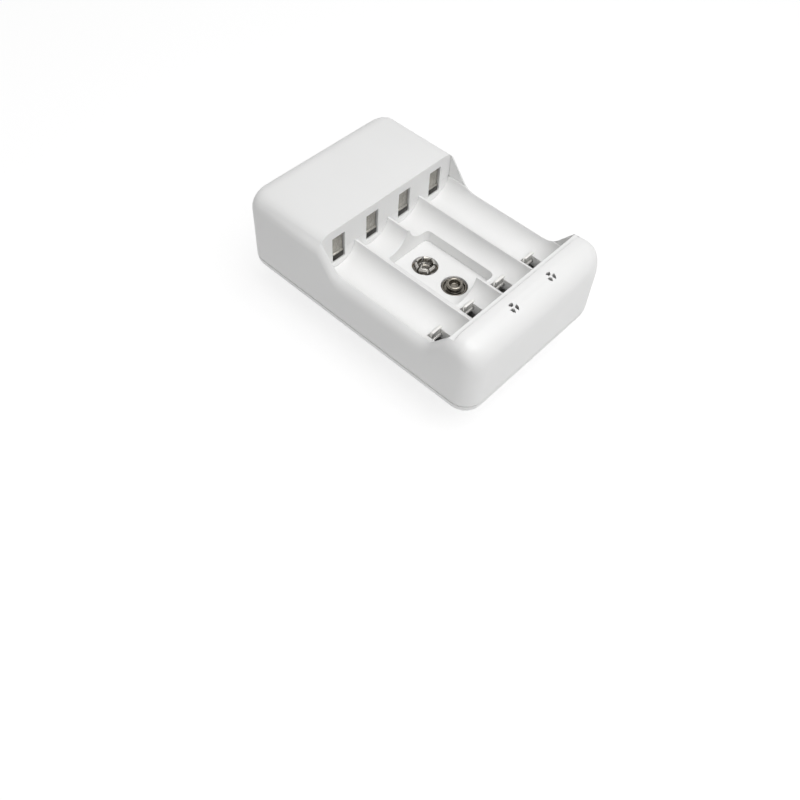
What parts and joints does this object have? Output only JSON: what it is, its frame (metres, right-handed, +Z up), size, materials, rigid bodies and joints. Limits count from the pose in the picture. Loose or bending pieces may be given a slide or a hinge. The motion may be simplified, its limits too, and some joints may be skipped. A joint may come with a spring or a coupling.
{
  "type": "battery charger",
  "caption": "Plug-in charger for AA, AAA and 9 V cells, with open bays, sprung AAA contacts and a folding two-pin plug on a swivelling disc.",
  "frame": {"origin": "centre of the charger's plan, on the flat it rests on, which is the outer face of its folded plug", "axes": "+X across the bays, +Y from the nose with the lights to the tall head, +Z up out of the bays"},
  "size_m": [0.0644, 0.0968, 0.0439],
  "materials": {
    "white_plastic": "satin white, finely grained",
    "inner_plastic": "plain",
    "green_board": "lacquered",
    "brown_board": "plain",
    "contact_metal": "nickel plated",
    "pin_metal": "nickel plated brass",
    "steel": "zinc plated",
    "red_lamp": "clear red",
    "core_iron": "dark",
    "winding_wire": "enamelled wire",
    "capacitor_sleeve": "plain sleeve"
  },
  "bodies": {
    "housing": {"back_cover": "white_plastic", "capacitor": "capacitor_sleeve", "case_screw_left": "steel", "case_screw_right": "steel", "led_board": "green_board", "led_left": "red_lamp", "led_right": "red_lamp", "main_board": "green_board", "negative_contact_1": "contact_metal", "negative_contact_2": "contact_metal", "negative_contact_3": "contact_metal", "negative_contact_4": "contact_metal", "positive_contact_1": "contact_metal", "positive_contact_2": "contact_metal", "positive_contact_3": "contact_metal", "positive_contact_4": "contact_metal", "snap_board": "brown_board", "snap_socket": "contact_metal", "snap_stud": "contact_metal", "top_housing": "white_plastic", "transformer_core": "core_iron", "transformer_winding": "winding_wire"},
    "swivel": {"turntable": "white_plastic", "hub_ring": "inner_plastic", "hub_screw_left": "steel", "hub_screw_right": "steel"},
    "plug": {"plug_body": "white_plastic", "plug_cover": "white_plastic", "plug_screw": "steel", "hinge_pin_left": "steel", "set_screw_left": "steel", "mains_pin_left": "pin_metal", "pin_sleeve_left": "white_plastic", "hinge_pin_right": "steel", "set_screw_right": "steel", "mains_pin_right": "pin_metal", "pin_sleeve_right": "white_plastic"},
    "aaa_tab_1": {"aaa_contact_1": "contact_metal"},
    "aaa_tab_2": {"aaa_contact_2": "contact_metal"},
    "aaa_tab_3": {"aaa_contact_3": "contact_metal"},
    "aaa_tab_4": {"aaa_contact_4": "contact_metal"}
  },
  "joints": [
    {"name": "plug_swivel", "type": "hinge", "parent": "housing", "child": "swivel", "pos_m": [0, 0.0171, 0.0138], "axis": [0, 0, 1], "range_deg": [0, 90]},
    {"name": "plug_fold", "type": "hinge", "parent": "swivel", "child": "plug", "pos_m": [0, 0.0171, 0.0088], "axis": [1, 0, 0], "range_deg": [0, 90]},
    {"name": "aaa_fold_1", "type": "hinge", "parent": "housing", "child": "aaa_tab_1", "pos_m": [-0.0225, -0.026, 0.0267], "axis": [1, 0, 0], "range_deg": [0, 90], "stiffness_Nm_per_rad": 0.002, "springref_deg": -17.19},
    {"name": "aaa_fold_2", "type": "hinge", "parent": "housing", "child": "aaa_tab_2", "pos_m": [-0.0075, -0.026, 0.0267], "axis": [1, 0, 0], "range_deg": [0, 90], "stiffness_Nm_per_rad": 0.002, "springref_deg": -17.19},
    {"name": "aaa_fold_3", "type": "hinge", "parent": "housing", "child": "aaa_tab_3", "pos_m": [0.0075, -0.026, 0.0267], "axis": [1, 0, 0], "range_deg": [0, 90], "stiffness_Nm_per_rad": 0.002, "springref_deg": -17.19},
    {"name": "aaa_fold_4", "type": "hinge", "parent": "housing", "child": "aaa_tab_4", "pos_m": [0.0225, -0.026, 0.0267], "axis": [1, 0, 0], "range_deg": [0, 90], "stiffness_Nm_per_rad": 0.002, "springref_deg": -17.19}
  ]
}
